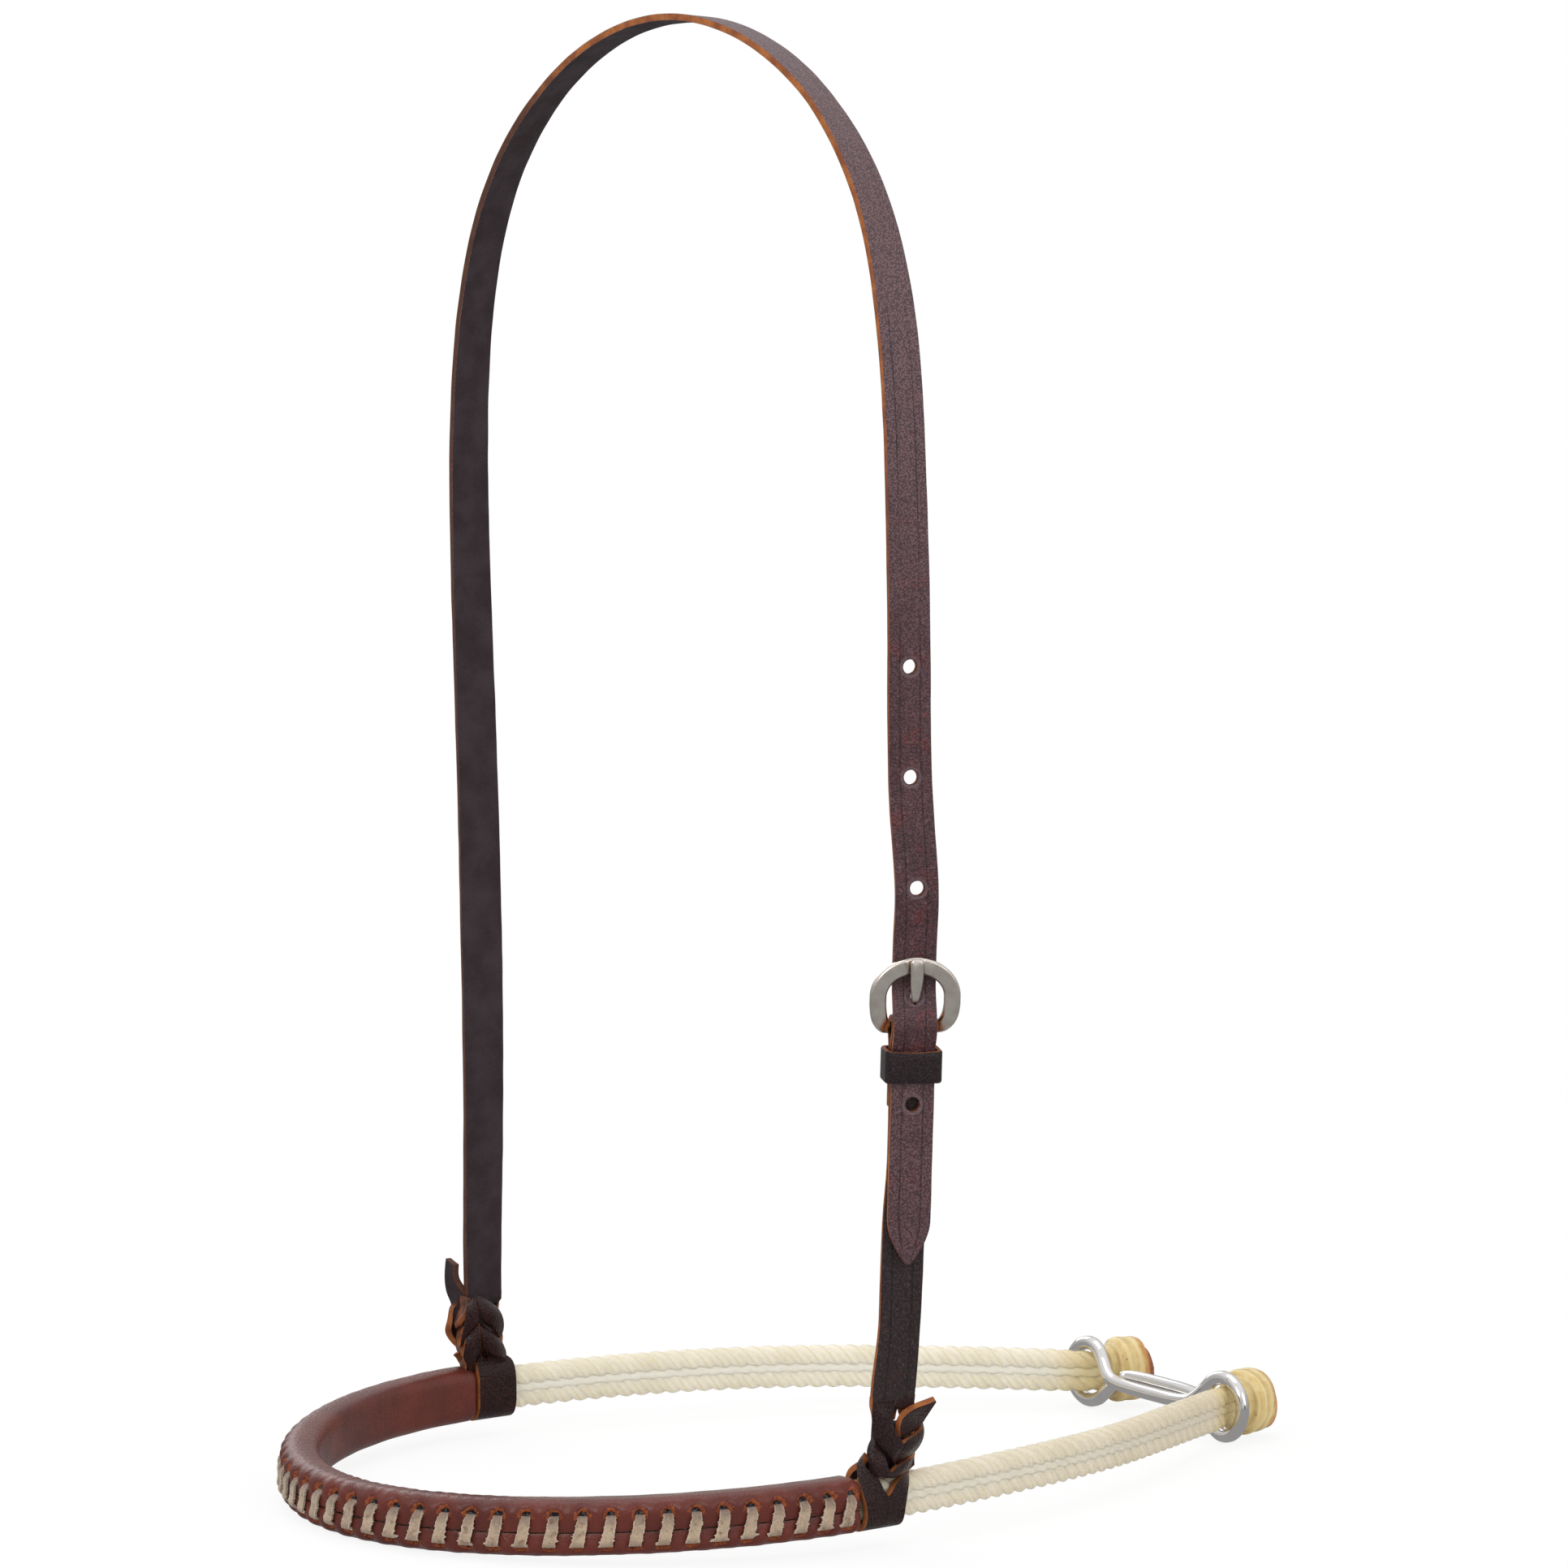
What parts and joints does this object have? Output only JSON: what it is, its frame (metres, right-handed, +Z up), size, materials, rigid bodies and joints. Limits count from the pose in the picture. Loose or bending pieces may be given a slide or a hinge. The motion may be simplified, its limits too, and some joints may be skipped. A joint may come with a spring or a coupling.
{
  "type": "rope noseband",
  "caption": "Stacked-rope horse noseband with a laced leather nose cover, a buckled leather hanger strap and a wire chin link.",
  "frame": {"origin": "flat underside of the nose cover, in the middle of the nose", "axes": "+Z up from the nose rope towards the poll, +Y from the nose back to the chin link, +X to the side that carries the buckle"},
  "size_m": [0.2285, 0.3259, 0.4346],
  "materials": {
    "rope": "waxy twisted rope",
    "burnt_rope": "melted rope end",
    "bright_steel": "mirror polished",
    "chestnut_leather": "smooth oiled",
    "suede_lace": "suede",
    "dark_leather": "satin with orange-brown cut edges",
    "keeper_leather": "satin",
    "satin_steel": "satin"
  },
  "bodies": {
    "root": {"upper_rope": "rope", "lower_rope": "rope", "near_rope_end": "burnt_rope", "far_rope_end": "burnt_rope", "nose_cover": "chestnut_leather", "cover_lace": "suede_lace", "crown_strap": "dark_leather", "cheek_strap": "dark_leather"},
    "buckle": {"buckle_frame": "satin_steel"},
    "tongue": {"buckle_tongue": "satin_steel"},
    "keeper": {"keeper_loop": "keeper_leather"},
    "link": {"chin_link": "bright_steel"}
  },
  "joints": [
    {"name": "buckle_pivot", "type": "hinge", "parent": "root", "child": "buckle", "pos_m": [0.10925, 0.11631, 0.15298], "axis": [0.4381, 0.8989, 0.0004], "range_deg": [0, 3]},
    {"name": "tongue_pivot", "type": "hinge", "parent": "buckle", "child": "tongue", "pos_m": [0.10925, 0.11631, 0.15298], "axis": [0.4381, 0.8989, 0.0004], "range_deg": [0, 3]},
    {"name": "keeper_slide", "type": "slide", "parent": "root", "child": "keeper", "axis": [0.0349, -0.0174, 0.9992], "range_m": [-0.022, 0]},
    {"name": "link_tilt", "type": "hinge", "parent": "root", "child": "link", "pos_m": [0, 0.298, 0.01095], "axis": [1, 0, 0], "range_deg": [-10, 10]}
  ]
}
